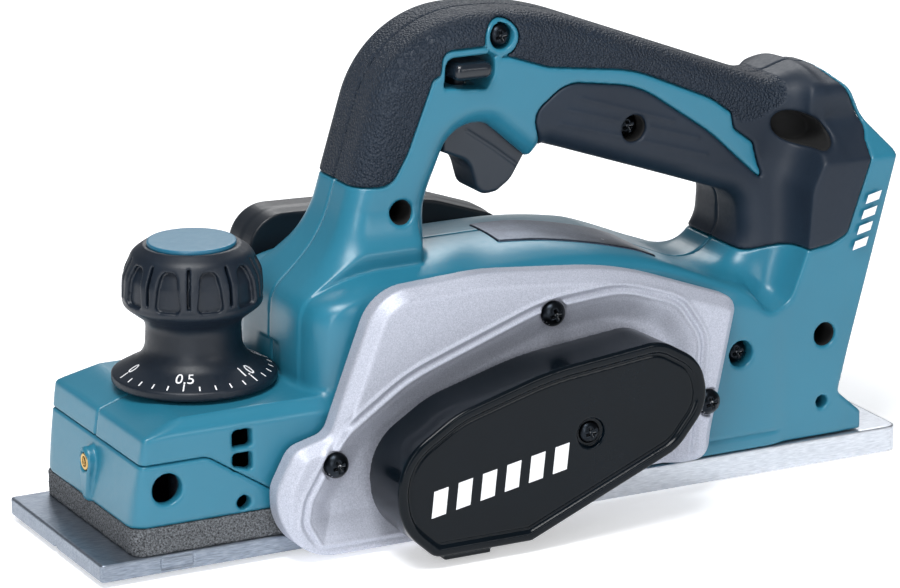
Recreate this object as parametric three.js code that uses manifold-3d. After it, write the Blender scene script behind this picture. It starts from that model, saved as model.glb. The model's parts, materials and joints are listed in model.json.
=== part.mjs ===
// Cordless hand planer, 82 mm wide cut.
// Millimetres, +Z up. The front (depth knob) is towards -X, the battery end towards +X, and the belt
// side towards -Y. The origin is on the rear sole plane, under the middle of the soles and on the
// casing's joint plane.

import * as THREE from 'three';
import { mergeVertices } from 'three/addons/utils/BufferGeometryUtils.js';
import Module from 'manifold-3d';

const wasm = await Module();
wasm.setup();

// ---------------------------------------------------------------- driving dimensions

const GAP = 0.3;                       // between pieces that touch
const SOLE_HALF_LENGTH = 160;
const SOLE_HALF_WIDTH = 41.5;
const REAR_SOLE_TOP = 9.5;
const FRONT_SOLE_THICKNESS = 6.4;
const CUT_DEPTH = 1.5;                 // the front sole stands this far up at rest

const DRUM = { x: -38, z: 28 };        // drum axis, along Y
const CUTTING_RADIUS = 27.8;
const DRUM_RADIUS = 25;
const DRUM_HALF_LENGTH = 40.8;
const THROAT_RADIUS = 29.3;            // the soles' edges curve round the drum
const CHAMBER_RADIUS = 31;

const MOTOR = { x: 35.5, z: 48.3 };    // motor axis, along Y
const CAN_RADIUS = 27;
const KNOB = { x: -105.7, y: 0 };      // depth knob axis, along Z

const FRAME_INNER_Y = -SOLE_HALF_WIDTH - GAP;
const FRAME_OUTER_Y = -53;
const COVER_OUTER_Y = -78.5;
const PLATE_INNER_Y = SOLE_HALF_WIDTH + GAP;
const PLATE_OUTER_Y = 47;
const NOZZLE_END_Y = -COVER_OUTER_Y;

const DRUM_PULLEY_RADIUS = 17;
const MOTOR_PULLEY_RADIUS = 11;
const BELT_THICKNESS = 2.4;
const BELT_Y = [-70, -60];

const HANDLE_HALF_WIDTH = 18;
const OVERMOULD = 2;                   // thickness of the rubber skin on the handle
const REAR_FACE = { x: 134.8, z: 26 }; // foot of the leaning battery face
const REAR_LEAN = Math.atan2(24.3, 88.1);

// ---------------------------------------------------------------- materials

function paint(color, roughness, metalness = 0) {
  return () => new THREE.MeshStandardMaterial({ color, roughness, metalness });
}

const LOOKS = {
  casing: paint(0x2f7f94, 0.5),
  rubber: paint(0x2b3a4a, 0.85),
  darkPlastic: paint(0x1c2630, 0.5),
  gloss: paint(0x0e1a24, 0.15),
  cast: paint(0xc5cad8, 0.4, 0.6),
  sole: paint(0xb9bfc6, 0.35, 0.9),
  steel: paint(0x9a9ea3, 0.3, 1),
  blackSteel: paint(0x16181a, 0.35, 0.8),
  blade: paint(0xd5d8da, 0.15, 1),
  foam: paint(0x6e7174, 0.95),
  beltRubber: paint(0x17181a, 0.8),
  brass: paint(0xc9a35a, 0.3, 1),
  copper: paint(0xb06a3a, 0.35, 1),
  plate: paint(0x3a3f47, 0.4, 0.3),
};

// ---------------------------------------------------------------- outlines

// A closed outline through corners [u, v, radius], each corner rounded by an arc.
function rounded(corners, step = Math.PI / 7) {
  const points = [];
  corners.forEach(([u, v, radius = 0], i) => {
    const corner = new THREE.Vector2(u, v);
    const before = new THREE.Vector2(...corners.at(i - 1)).sub(corner);
    const after = new THREE.Vector2(...corners[(i + 1) % corners.length]).sub(corner);
    if (radius === 0) {
      points.push(corner);
      return;
    }
    const towardsBefore = before.clone().normalize();
    const towardsAfter = after.clone().normalize();
    const half = Math.acos(THREE.MathUtils.clamp(towardsBefore.dot(towardsAfter), -1, 1)) / 2;
    const centre = towardsBefore.clone().add(towardsAfter).normalize();
    centre.multiplyScalar(radius / Math.sin(half)).add(corner);
    const start = towardsBefore.multiplyScalar(radius / Math.tan(half)).add(corner).sub(centre);
    const end = towardsAfter.multiplyScalar(radius / Math.tan(half)).add(corner).sub(centre);
    const turn = Math.atan2(start.cross(end), start.dot(end));
    const count = Math.max(1, Math.ceil(Math.abs(turn) / step));
    for (let k = 0; k <= count; k += 1) {
      points.push(start.clone().rotateAround(new THREE.Vector2(), turn * k / count).add(centre));
    }
  });
  return points;
}

// Moves an anticlockwise outline inwards, or outwards where the distance is negative.
function inset(points, distance) {
  return points.map((point, i) => {
    const before = point.clone().sub(points.at(i - 1)).normalize();
    const after = points[(i + 1) % points.length].clone().sub(point).normalize();
    const inward = new THREE.Vector2(-before.y - after.y, before.x + after.x).normalize();
    const miter = distance / Math.max(0.4, inward.dot(new THREE.Vector2(-after.y, after.x)));
    return point.clone().addScaledVector(inward, miter);
  });
}

function circle(u, v, radius, count = 20) {
  const angles = Array.from({ length: count }, (_, i) => 2 * Math.PI * i / count);
  return angles.map((angle) => new THREE.Vector2(u + radius * Math.cos(angle), v + radius * Math.sin(angle)));
}

// The outline of a loop stretched round two circles, anticlockwise.
function beltLine(a, radiusA, b, radiusB, step = Math.PI / 9) {
  const along = new THREE.Vector2(b.x - a.x, b.z - a.z);
  const lean = Math.acos((radiusA - radiusB) / along.length());
  const base = along.angle();
  const arc = (centre, radius, from, sweep) => {
    const count = Math.ceil(sweep / step);
    return Array.from({ length: count + 1 }, (_, i) => {
      const angle = from + sweep * i / count;
      return new THREE.Vector2(centre.x + radius * Math.cos(angle), centre.z + radius * Math.sin(angle));
    });
  };
  return [
    ...arc(b, radiusB, base - lean, 2 * lean),
    ...arc(a, radiusA, base + lean, 2 * Math.PI - 2 * lean),
  ];
}

// ---------------------------------------------------------------- solids

// A closed geometry as a solid that can be joined and cut.
function solid(geometry) {
  const bare = geometry.clone();
  bare.deleteAttribute('normal');
  bare.deleteAttribute('uv');
  const merged = mergeVertices(bare, 1e-4);
  const index = merged.index.array;
  const triangles = [];
  for (let i = 0; i < index.length; i += 3) {
    const [a, b, c] = index.subarray(i, i + 3);
    if (a !== b && b !== c && c !== a) triangles.push(a, b, c);
  }
  return new wasm.Manifold(new wasm.Mesh({
    numProp: 3,
    vertProperties: new Float32Array(merged.attributes.position.array),
    triVerts: new Uint32Array(triangles),
  }));
}

function extrude(points, depth, bevel) {
  return new THREE.ExtrudeGeometry(new THREE.Shape(points), {
    depth: depth - 2 * bevel,
    bevelEnabled: bevel > 0,
    bevelThickness: bevel,
    bevelSize: bevel,
    bevelOffset: -bevel,
    bevelSegments: 2,
  });
}

// An outline in X and Z, pushed along Y.
function prismY(points, from, to, bevel = 0) {
  return solid(extrude(points, to - from, bevel).rotateX(Math.PI / 2).translate(0, to - bevel, 0));
}

// An outline in X and Y, pushed along Z.
function prismZ(points, from, to, bevel = 0) {
  return solid(extrude(points, to - from, bevel).translate(0, 0, from + bevel));
}

// An outline in Y and Z, pushed along X.
function prismX(points, from, to) {
  return solid(extrude(points, to - from, 0).rotateX(Math.PI / 2).rotateZ(Math.PI / 2).translate(from, 0, 0));
}

function box(low, high) {
  const size = high.map((value, i) => value - low[i]);
  const middle = high.map((value, i) => (value + low[i]) / 2);
  return solid(new THREE.BoxGeometry(...size).translate(...middle));
}

function rodY({ x, z }, radius, from, to, count = 20) {
  return prismY(circle(x, z, radius, count), from, to);
}

function rodZ({ x, y }, radius, from, to, count = 20) {
  return prismZ(circle(x, y, radius, count), from, to);
}

// A profile [radius, height] that starts and ends on the axis, turned about Z at a place.
function turned(profile, { x, y }, count = 28) {
  const points = profile.map(([radius, height]) => new THREE.Vector2(radius, height));
  return solid(new THREE.LatheGeometry(points, count).rotateX(Math.PI / 2).translate(x, y, 0));
}

function join(...solids) {
  return solids.reduce((whole, piece) => whole.add(piece));
}

function cut(whole, ...tools) {
  return tools.reduce((rest, tool) => rest.subtract(tool), whole);
}

function leftHalf(whole) {
  return whole.intersect(box([-300, -200, -20], [300, -GAP / 2, 300]));
}

function rightHalf(whole) {
  return whole.intersect(box([-300, GAP / 2, -20], [300, 200, 300]));
}

// ---------------------------------------------------------------- the assembly

const planer = new THREE.Group();

function add(name, shape, look) {
  const { numProp, vertProperties, triVerts } = shape.getMesh();
  const positions = new Float32Array(vertProperties.length / numProp * 3);
  for (let i = 0; i < positions.length / 3; i += 1) {
    positions.set(vertProperties.subarray(i * numProp, i * numProp + 3), i * 3);
  }
  const geometry = new THREE.BufferGeometry();
  geometry.setAttribute('position', new THREE.BufferAttribute(positions, 3));
  geometry.setIndex(Array.from(triVerts));
  const mesh = new THREE.Mesh(geometry, LOOKS[look]());
  mesh.name = name;
  planer.add(mesh);
}

// ---------------------------------------------------------------- casing outlines

// Middle section of the handle, with the body behind it down to where the other volumes take over.
const HANDLE_LINE = rounded([
  [-66, 60], [148, 60], [148, 118, 12], [134, 137.8, 9],
  [117.5, 140.3, 20], [21.4, 178.2, 110], [-33, 178.2, 42], [-60.3, 90, 25], [-66, 78],
]);

// Space for the fingers, inside the handle's loop.
const WINDOW_LINE = rounded([
  [-25.5, 50], [92, 50], [100, 71, 10], [106, 84, 14], [105.5, 99, 8], [33, 124.8, 9],
  [25.5, 127.3, 2.5], [20.3, 121.8, 3], [3, 137.5, 7], [-11, 137.5, 14], [-22, 112, 35],
]);

// Inner limit of the handle's hollow, on the side of the fingers.
const HOLLOW_LIMIT = rounded([
  [-31.5, 50], [98, 50], [106, 72, 10], [112, 84, 14], [111.5, 103, 14], [34, 128.6, 20], [9, 140.6, 12],
  [-15, 140.6, 18], [-28, 112, 35],
]);

// Body over the drum and the motor, seen from the side.
const BODY_LINE = rounded([
  [-12, 9.8], [100, 9.8], [100, 68, 10], [58, 86, 50], [18, 98, 60],
  [-48, 98, 14], [-62, 90, 12], [-75, 84, 10], [-75, 17.5], [-12, 17.5],
]);

// Battery end with the leaning rear face.
const FLANK_LINE = rounded([
  [70, 9.8], [145, 9.8], [145, 17], [134.8, 26], [158.9, 114.1, 4], [152, 116.5, 4],
  [128, 116.5, 8], [112, 62, 14], [92, 57, 8], [70, 60],
]);

const HUMP_LINE = rounded([
  [106, 90], [152, 90], [158.9, 114.1], [143.5, 141.8, 4], [136.5, 141.8], [129, 138], [119, 138],
]);

// Front casing that carries the depth knob.
const NOSE_LINE = rounded([[-147.5, 17.5, 1], [-70, 17.5], [-70, 55], [-127, 55, 6], [-142.5, 49.6, 2]]);

// Line that divides the nose: the lower moulding is below it.
const SKIRT_LINE = rounded([[-152, 10], [-76, 10], [-84, 17.5, 2], [-119, 40, 6], [-152, 40]]);

// ---------------------------------------------------------------- casing volumes

function crownedSection(shrink) {
  const side = SOLE_HALF_WIDTH;
  const section = rounded([[-side, 5], [side, 5], [side, 88, 14], [0, 100, 100], [-side, 88, 14]]);
  return prismX(inset(section, shrink), -200, 200);
}

function roundFront() {
  return prismZ(rounded([[-75, -42, 22], [120, -42], [120, 42], [-75, 42, 22]]), -5, 200);
}

function nose() {
  const side = 40.5;
  const section = rounded([
    [-side, 10], [side, 10], [side, 49.5, 1], [35.5, 55, 2], [-35.5, 55, 2], [-side, 49.5, 1],
  ]);
  const plan = rounded([[-148, -side, 6], [-60, -side], [-60, side], [-148, side, 6]]);
  return prismY(NOSE_LINE, -side, side).intersect(prismX(section, -200, 0)).intersect(prismZ(plan, 0, 80));
}

// Handle, hump and battery end, all shrunk by the same distance. At 0 it is the outer surface.
function upper(shrink) {
  const layer = (line, halfWidth, bevel) => {
    const side = halfWidth - shrink;
    return prismY(inset(line, shrink), -side, side, Math.max(0, bevel - shrink));
  };
  const window = prismY(inset(WINDOW_LINE, -shrink), -30, 30);
  return join(
    cut(layer(HANDLE_LINE, HANDLE_HALF_WIDTH, 7), window),
    layer(HUMP_LINE, 26, 3),
    layer(FLANK_LINE, SOLE_HALF_WIDTH - 1, 2),
  );
}

// The rubber skin covers the handle inside this line, apart from the coloured stripe that it wraps round.
function skinZone(grow) {
  return prismY(inset(rounded([
    [-80, 121.5], [-38, 121.5, 6], [-16, 166.3, 4], [-1.5, 166.3, 2], [0.5, 160.5, 2],
    [14, 160.5, 2], [26, 156, 20], [60, 151.5, 60], [92.5, 137, 30], [101, 130.5, 1], [102, 124.5, 2],
    [110, 118.5, 2], [114, 103.5, 1], [92, 124, 80], [62, 144.5, 40], [33, 149, 14], [19.5, 139, 6],
    [24, 127, 1], [24, 110], [60, 80], [107.8, 78, 4], [130, 83, 4], [136, 87, 3], [146, 117, 3],
    [139.5, 130, 5], [137, 150], [137, 200], [-80, 200],
  ]), grow), -60, 60);
}

function aboveBody() {
  return box([-80, -60, 70], [170, 60, 200]);
}

function leverSlot() {
  return prismY(rounded([[-15.5, 151.5, 1], [3, 151.5, 1], [4, 163, 3], [-14, 163, 4]]), -60, 60);
}

function triggerSlot() {
  return box([-15, -9.7, 118], [23, 9.7, 146]);
}

// Battery bay: a mouth between the rails and a wider slot under them, cut along the leaning face.
function batteryBay() {
  return leaning(join(box([-4, -31, 8], [8, 31, 140]), box([-12, -35, 8], [-4, 35, 140])));
}

// Places a shape drawn at an upright battery face onto the leaning one.
function leaning(shape) {
  return shape.rotate([0, THREE.MathUtils.radToDeg(REAR_LEAN), 0]).translate([REAR_FACE.x, 0, REAR_FACE.z]);
}

function motorRibs() {
  const wall = (from, to) => cut(
    box([6, from, 14], [68, to, 84]),
    rodY(MOTOR, CAN_RADIUS + GAP, from - 1, to + 1),
  );
  return join(wall(-7, -4), wall(4, 7));
}

function casingHollows() {
  const handleRoom = cut(
    prismY(inset(HANDLE_LINE, 6), -12.5, 12.5),
    prismY(HOLLOW_LIMIT, -20, 20),
    box([112, -20, 50], [170, 20, 150]),
  );
  const underRoof = crownedSection(4.5).add(box([-200, -60, 5], [200, -30, 72]));
  const motorBay = prismY(inset(BODY_LINE, 4.5), -50, 38).intersect(box([2, -60, 13], [71, 60, 100]));
  const chamber = join(
    rodY(DRUM, CHAMBER_RADIUS, -50, 50, 36),
    box([DRUM.x - CHAMBER_RADIUS, -50, -5], [-8, 50, DRUM.z]),
  );
  const chipDuct = box([-60, 4, 45], [-24, 50, 84]);
  const shoulderRoom = box([-58, -36, 63], [-6, 1, 88]);
  const rooms = join(cut(motorBay, motorRibs()), shoulderRoom).intersect(underRoof);
  const noseRoom = box([-143, -37, 5], [-80, 37, 50]);
  const batteryEnd = prismY(rounded([
    [75, 13.5, 2], [112.5, 13.5, 2], [134, 95, 3], [125, 95, 3], [109, 50, 10], [75, 52, 3],
  ]), -37, 37);
  return join(handleRoom, rooms, chamber, chipDuct, noseRoom, batteryEnd);
}

function casing() {
  const sides = prismY(BODY_LINE, -SOLE_HALF_WIDTH, SOLE_HALF_WIDTH);
  const body = sides.intersect(crownedSection(0)).intersect(roundFront());
  const front = cut(nose(), prismY(inset(SKIRT_LINE, -GAP), -60, 60));
  const outer = join(body, upper(0), front);
  const skinPocket = cut(skinZone(-GAP), upper(OVERMOULD + GAP)).intersect(aboveBody());
  const bearingBoss = ring(MOTOR, 12.5, 8.5 + GAP, 27, 37.5).add(rodY(MOTOR, 12.5, 37.5, 39));
  const hollow = cut(
    outer,
    casingHollows(),
    skinPocket,
    leverSlot(),
    triggerSlot(),
    batteryBay(),
    rodZ(KNOB, 4.6, 30, 80),
  );
  return cut(
    join(hollow, bearingBoss),
    ...SCREW_HOLES.map(({ x, z, depth }) => rodY({ x, z }, 5, -50, depth, 12)),
    ...SCREW_HOLES.map(({ x, z }) => rodY({ x, z }, 1.9, -50, 6, 8)),
    rodY(TRIGGER_PIVOT, 2 + GAP, -13, 13, 12),
    footSlot(),
    box([-109.5, -60, 33], [-102, -30, 48]),
  );
}

// Recessed screws of the casing: place, the Y that the head seats at, and the Y of the tip.
const SCREW_HOLES = [
  { name: 'handle_screw_front', x: 7.1, z: 169, depth: -16.5, tip: 5 },
  { name: 'handle_screw_rear', x: 60.1, z: 130, depth: -14.5, tip: 5 },
  { name: 'handle_leg_screw', x: -33, z: 110.5, depth: -9, tip: 5 },
  { name: 'casing_screw_front', x: 92.2, z: 46.7, depth: -37, tip: 5 },
  { name: 'casing_screw_rear', x: 128.2, z: 48.7, depth: -28, tip: -18 },
];

// ---------------------------------------------------------------- casing pieces

function addCasing() {
  const whole = casing();
  add('left_casing', leftHalf(whole), 'casing');
  add('right_casing', rightHalf(whole), 'casing');

  const skin = cut(
    upper(0).intersect(skinZone(0)),
    upper(OVERMOULD),
    leverSlot(),
    batteryBay(),
    prismY(WINDOW_LINE, -60, 60),
    ...SCREW_HOLES.map(({ x, z }) => rodY({ x, z }, 5.3, -50, 0, 12)),
  ).intersect(aboveBody());
  add('left_grip', leftHalf(skin), 'rubber');
  add('right_grip', rightHalf(skin), 'rubber');

  const skirt = cut(
    nose().intersect(prismY(SKIRT_LINE, -60, 60)),
    box([-143.5, -37, 5], [-70, 37, 60]),
    rodY({ x: -134.1, z: 30.8 }, 5.6, -50, -36, 20),
    prismX(circle(0, 31.5, 3.4, 12), -160, -140),
    box([-109.5, -60, 33], [-102, -30, 48]),
  );
  add('nose_skirt', skirt, 'casing');
  const insert = cut(
    prismX(circle(0, 31.5, 3.1, 12), -148, -143.5),
    prismX(circle(0, 31.5, 1.7, 8), -160, -130),
  );
  add('guide_insert', insert, 'brass');

  for (const { name, x, z, depth, tip } of SCREW_HOLES) {
    const head = rodY({ x, z }, 4.4, depth - 3, depth - GAP, 12);
    add(name, join(head, rodY({ x, z }, 1.6, depth - 1, tip, 8)), 'blackSteel');
  }
}

// ---------------------------------------------------------------- soles

function addSoles() {
  const half = SOLE_HALF_LENGTH;
  const side = SOLE_HALF_WIDTH;
  const throat = rodY(DRUM, THROAT_RADIUS, -60, 60, 72);
  const rearPlan = rounded([[-45, -side], [half, -side, 4], [half, side, 4], [-45, side]]);
  const rear = cut(
    prismZ(rearPlan, 0, REAR_SOLE_TOP),
    throat,
    box([-60, -60, -5], [-30, 60, 20]),
    box([124, -8.3, -5], [150, 8.3, 20]),
  );
  add('rear_base', rear, 'sole');

  const low = CUT_DEPTH;
  const high = CUT_DEPTH + FRONT_SOLE_THICKNESS;
  const frontPlan = rounded([[-half, -side, 2], [-44, -side], [-44, side], [-half, side, 2]]);
  const groove = prismX(rounded([[-1.5, -1], [1.5, -1], [0, low + 1.4]]), -170, -40);
  const front = cut(prismZ(frontPlan, low, high), throat, groove);
  add('front_base', front, 'sole');

  const seal = cut(
    prismZ(rounded([[-147, -40.5, 5], [-70, -40.5], [-70, 40.5], [-147, 40.5, 5]]), high + 0.8, 17.2),
    box([-140, -34, 0], [-76, 34, 30]),
  );
  add('front_seal', seal, 'foam');
}

// ---------------------------------------------------------------- belt side

const COVER_FRONT_RADIUS = 27.5;
const COVER_REAR_RADIUS = 19.5;
const COVER_BOTTOM = 4;
const COVER_SCREW = { x: 10.2, z: 39.7 };

// Belt cover outline: two round ends, a bowed top and a flat bottom with one corner.
function coverLine() {
  const loop = beltLine(DRUM, COVER_FRONT_RADIUS, MOTOR, COVER_REAR_RADIUS);
  const bottomCorner = new THREE.Vector2(-13.4, COVER_BOTTOM);
  const above = loop.filter(({ x, y }) => y > COVER_BOTTOM && (x < -45 || y > 27));
  return [...above, new THREE.Vector2(-51.4, COVER_BOTTOM), bottomCorner];
}

function addBeltSide() {
  const frameLine = rounded([
    [-97, 1.2, 21], [-40, 1.2, 4], [-12, 11, 4], [73.5, 12.8, 7], [86, 70.5, 6], [36, 88.3, 60],
    [-18, 93.5, 60], [-57.5, 92, 18], [-76.5, 43.5, 6], [-90, 40, 8], [-97, 27, 10],
  ]);
  const shell = cut(
    prismY(frameLine, FRAME_OUTER_Y, FRAME_INNER_Y, 0),
    prismY(inset(frameLine, 4), FRAME_OUTER_Y + 3.5, FRAME_INNER_Y + 1),
  );
  const boss = (at, radius) => rodY(at, radius, FRAME_OUTER_Y, FRAME_INNER_Y);
  const frame = cut(
    join(shell, boss(DRUM, 17), boss(MOTOR, 14)),
    rodY(DRUM, 13 + GAP, FRAME_OUTER_Y + 2, FRAME_INNER_Y + 1),
    rodY(DRUM, 7, FRAME_OUTER_Y - 1, FRAME_INNER_Y + 1),
    rodY(MOTOR, 11 + GAP, FRAME_OUTER_Y + 2, FRAME_INNER_Y + 1),
    rodY(MOTOR, 6, FRAME_OUTER_Y - 1, FRAME_INNER_Y + 1),
    ...FRAME_SCREWS.map(({ x, z }) => rodY({ x, z }, 2.2, -60, -40, 8)),
    rodY(COVER_SCREW, 2.2, -60, -40, 8),
  );
  add('side_frame', frame, 'cast');
  for (const { name, x, z } of FRAME_SCREWS) {
    const head = rodY({ x, z }, 4.7, FRAME_OUTER_Y - 2.6, FRAME_OUTER_Y - 0.1, 12);
    add(name, join(head, rodY({ x, z }, 1.9, FRAME_OUTER_Y - 1, -43, 8)), 'blackSteel');
  }

  const line = coverLine();
  const cover = cut(
    prismY(line, COVER_OUTER_Y, FRAME_OUTER_Y - GAP, 2),
    prismY(inset(line, 2.6), COVER_OUTER_Y + 2.6, FRAME_OUTER_Y),
    rodY(COVER_SCREW, 4.4, -90, COVER_OUTER_Y + 1.2, 12),
    rodY(COVER_SCREW, 2.2, -90, -50, 8),
  );
  add('belt_cover', cover, 'gloss');
  const screw = join(
    rodY(COVER_SCREW, 4, COVER_OUTER_Y + 0.2, COVER_OUTER_Y + 1.1, 12),
    rodY(COVER_SCREW, 1.9, COVER_OUTER_Y + 1, -43, 8),
  );
  add('belt_cover_screw', screw, 'blackSteel');

  const loop = (out) => beltLine(DRUM, DRUM_PULLEY_RADIUS + out, MOTOR, MOTOR_PULLEY_RADIUS + out);
  const outer = prismY(loop(GAP + BELT_THICKNESS), ...BELT_Y);
  add('drive_belt', cut(outer, prismY(loop(GAP), BELT_Y[0] - 1, BELT_Y[1] + 1)), 'beltRubber');
}

const FRAME_SCREWS = [
  { name: 'frame_screw_front', x: -75.8, z: 33.8 },
  { name: 'frame_screw_top', x: 9.1, z: 76.4 },
  { name: 'frame_screw_rear', x: 72.5, z: 34.5 },
];

// ---------------------------------------------------------------- cutter drum

function ring(at, outer, inner, from, to) {
  return cut(rodY(at, outer, from, to), rodY(at, inner, from - 1, to + 1));
}

function turnedHalfway(shape) {
  return shape.translate([-DRUM.x, 0, -DRUM.z]).rotate([0, 180, 0]).translate([DRUM.x, 0, DRUM.z]);
}

function addDrum() {
  const pocket = box([DRUM.x - 4, -60, DRUM.z + 12], [DRUM.x + 16, 60, DRUM.z + 40]);
  const shaft = join(
    rodY(DRUM, 6.5, -74, -40),
    rodY(DRUM, 6.5, 40, PLATE_OUTER_Y - 1),
  );
  const drum = join(
    cut(rodY(DRUM, DRUM_RADIUS, -DRUM_HALF_LENGTH, DRUM_HALF_LENGTH, 32), pocket, turnedHalfway(pocket)),
    shaft,
  );
  add('cutter_drum', drum, 'steel');

  const reach = CUTTING_RADIUS - 0.3;
  const blade = prismY([
    new THREE.Vector2(DRUM.x - 3.7, DRUM.z + 12.3),
    new THREE.Vector2(DRUM.x - 2, DRUM.z + 12.3),
    new THREE.Vector2(DRUM.x - 0.6, DRUM.z + reach),
    new THREE.Vector2(DRUM.x - 3.7, DRUM.z + reach - 1.5),
  ], -DRUM_HALF_LENGTH, DRUM_HALF_LENGTH);
  const clamp = prismY(rounded([
    [DRUM.x - 1.6, DRUM.z + 12.3], [DRUM.x + 12, DRUM.z + 12.3, 1], [DRUM.x + 12, DRUM.z + 17.5, 2],
    [DRUM.x - 0.2, DRUM.z + 23.5, 1],
  ]), -DRUM_HALF_LENGTH, DRUM_HALF_LENGTH);
  const boltPlaces = [-27, 27];
  const bore = (y) => rodZ({ x: DRUM.x + 6, y }, 4.3, DRUM.z + 14, DRUM.z + 30, 10);
  const drilled = cut(clamp, ...boltPlaces.map(bore));
  const bolt = (y) => rodZ({ x: DRUM.x + 6, y }, 4, DRUM.z + 14.3, DRUM.z + 21, 6);
  const seats = [['a', (shape) => shape], ['b', turnedHalfway]];
  for (const [letter, place] of seats) {
    add(`blade_${letter}`, place(blade), 'blade');
    add(`blade_clamp_${letter}`, place(drilled), 'steel');
    boltPlaces.forEach((y, i) => add(`clamp_bolt_${letter}${i + 1}`, place(bolt(y)), 'blackSteel'));
  }
  const pulley = join(
    ring(DRUM, DRUM_PULLEY_RADIUS, 6.5 + GAP, -72, -58),
    ring(DRUM, DRUM_PULLEY_RADIUS + 3, 8, -58, -56.5),
  );
  add('drum_pulley', pulley, 'steel');
  add('drum_bearing_left', ring(DRUM, 13, 6.65, FRAME_OUTER_Y + 2.3, FRAME_INNER_Y - 0.5), 'steel');
  add('drum_bearing_right', ring(DRUM, 11, 6.65, PLATE_INNER_Y + 0.5, PLATE_OUTER_Y - 1.5), 'steel');

  const plateLine = rounded([
    [-66, 12, 6], [-10, 12, 6], [-4, 30, 10], [-14, 56, 12], [-62, 56, 12], [-72, 30, 10],
  ]);
  const plate = cut(
    prismY(plateLine, PLATE_INNER_Y, PLATE_OUTER_Y),
    rodY(DRUM, 11 + GAP, PLATE_INNER_Y - 1, PLATE_OUTER_Y - 1.2),
    rodY(DRUM, 7.2, PLATE_INNER_Y - 1, PLATE_OUTER_Y + 1),
  );
  add('bearing_plate', plate, 'cast');
}

// ---------------------------------------------------------------- motor

function addMotor() {
  add('motor_can', ring(MOTOR, CAN_RADIUS, CAN_RADIUS - 4, -22, 13), 'steel');
  add('armature_shaft', rodY(MOTOR, 4, -73, 36.7), 'steel');
  const slots = Array.from({ length: 8 }, (_, i) => {
    const angle = Math.PI * i / 4;
    return rodY({ x: MOTOR.x + 19 * Math.cos(angle), z: MOTOR.z + 19 * Math.sin(angle) }, 2.4, -30, 30, 8);
  });
  add('armature_core', cut(ring(MOTOR, 20, 4 + 0.05, -18, 10), ...slots), 'copper');
  add('commutator', ring(MOTOR, 10, 4 + 0.05, 13.5, 23), 'copper');
  const blades = Array.from({ length: 8 }, (_, i) => {
    const blade = box([6, -34, -0.8], [25, -26, 0.8]).rotate([0, 45 * i, 0]);
    return blade.translate([MOTOR.x, 0, MOTOR.z]);
  });
  const fan = join(ring(MOTOR, 25, 4.05, -26.5, -25), ring(MOTOR, 8, 4.05, -35, -26), ...blades);
  add('cooling_fan', cut(fan, rodY(MOTOR, 4.05, -50, 0)), 'darkPlastic');
  add('motor_pulley', ring(MOTOR, MOTOR_PULLEY_RADIUS, 4.05, -72, -57), 'steel');
  add('motor_bearing_left', ring(MOTOR, 11, 4.1, FRAME_OUTER_Y + 2.3, FRAME_INNER_Y - 1), 'steel');
  add('motor_bearing_right', ring(MOTOR, 8.5, 4.1, 28, 35), 'steel');
  for (const [name, side] of [['brush_upper', 1], ['brush_lower', -1]]) {
    const low = side > 0 ? MOTOR.z + 10.4 : MOTOR.z - 24;
    const high = side > 0 ? MOTOR.z + 24 : MOTOR.z - 10.4;
    add(name, box([MOTOR.x - 3.5, 14.5, low], [MOTOR.x + 3.5, 22, high]), 'brass');
  }
}

// ---------------------------------------------------------------- depth knob

function addDepthKnob() {
  const skirt = turned([
    [0, 55.4], [5, 55.4], [5, 55.9], [29, 55.9], [29, 58.6], [16.8, 64.2], [15.8, 64], [0, 64],
  ], KNOB);
  const waist = turned([[0, 63.5], [17.4, 63.5], [16.7, 69], [17.2, 76], [24.3, 84.5], [25, 87], [24.6, 94],
    [22, 101.5], [16.4, 104.8], [15.9, 104.4], [0, 104.4]], KNOB);
  const scallops = Array.from({ length: 10 }, (_, i) => {
    const angle = 2 * Math.PI * (i + 0.5) / 10 - THREE.MathUtils.degToRad(117);
    const at = { x: KNOB.x + 27.6 * Math.cos(angle), y: KNOB.y + 27.6 * Math.sin(angle) };
    return rodZ(at, 4.2, 88.5, 100, 8);
  });
  add('depth_knob', cut(join(skirt, waist), ...scallops, rodZ(KNOB, 4 + GAP, 50, 95, 16)), 'rubber');
  const cap = [[0, 104.7], [15.3, 104.7], [15.5, 105.2], [14.8, 105.9], [0, 106]];
  add('knob_cap', turned(cap, KNOB), 'casing');
  add('knob_spindle', rodZ(KNOB, 4, 20, 94.5, 16), 'steel');
  const post = cut(rodZ(KNOB, 10, 8.2, 44), rodZ(KNOB, 4 + GAP, 14, 60, 16));
  add('lift_post', post, 'cast');
}

// ---------------------------------------------------------------- handle mechanism

const TRIGGER_PIVOT = { x: -7, z: 140 };

function addHandleMechanism() {
  const trigger = prismY(rounded([
    [-11.5, 127], [-3, 123.5, 6], [3.2, 110.5, 3], [9.5, 110.3, 4], [18.4, 120, 8], [18.4, 130.5], [1, 143.5],
    [-6, 145], [-11.5, 141],
  ]), -9, 9, 1.5);
  add('trigger', cut(trigger, rodY(TRIGGER_PIVOT, 2 + 0.05, -20, 20, 16)), 'darkPlastic');
  add('trigger_pin', rodY(TRIGGER_PIVOT, 2, -12, 12, 16), 'steel');
  const lever = join(
    prismY(rounded([[-12.4, 155.4, 2.5], [2, 155.4, 2.5], [2, 161, 2.5], [-12.4, 161, 2.5]]), -20.5, 20.5, 1),
    box([-7, -8, 149.5], [-3, 8, 156]),
  );
  add('lock_lever', lever, 'darkPlastic');
  add('switch_body', box([25, -8, 134], [56, 8, 152]), 'darkPlastic');
}

// ---------------------------------------------------------------- battery terminal and park foot

const FOOT_PIVOT = { x: 128, z: 14.5 };

function footSlot() {
  return box([122, -8.3, 5], [150, 8.3, 19.5]);
}

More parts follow.
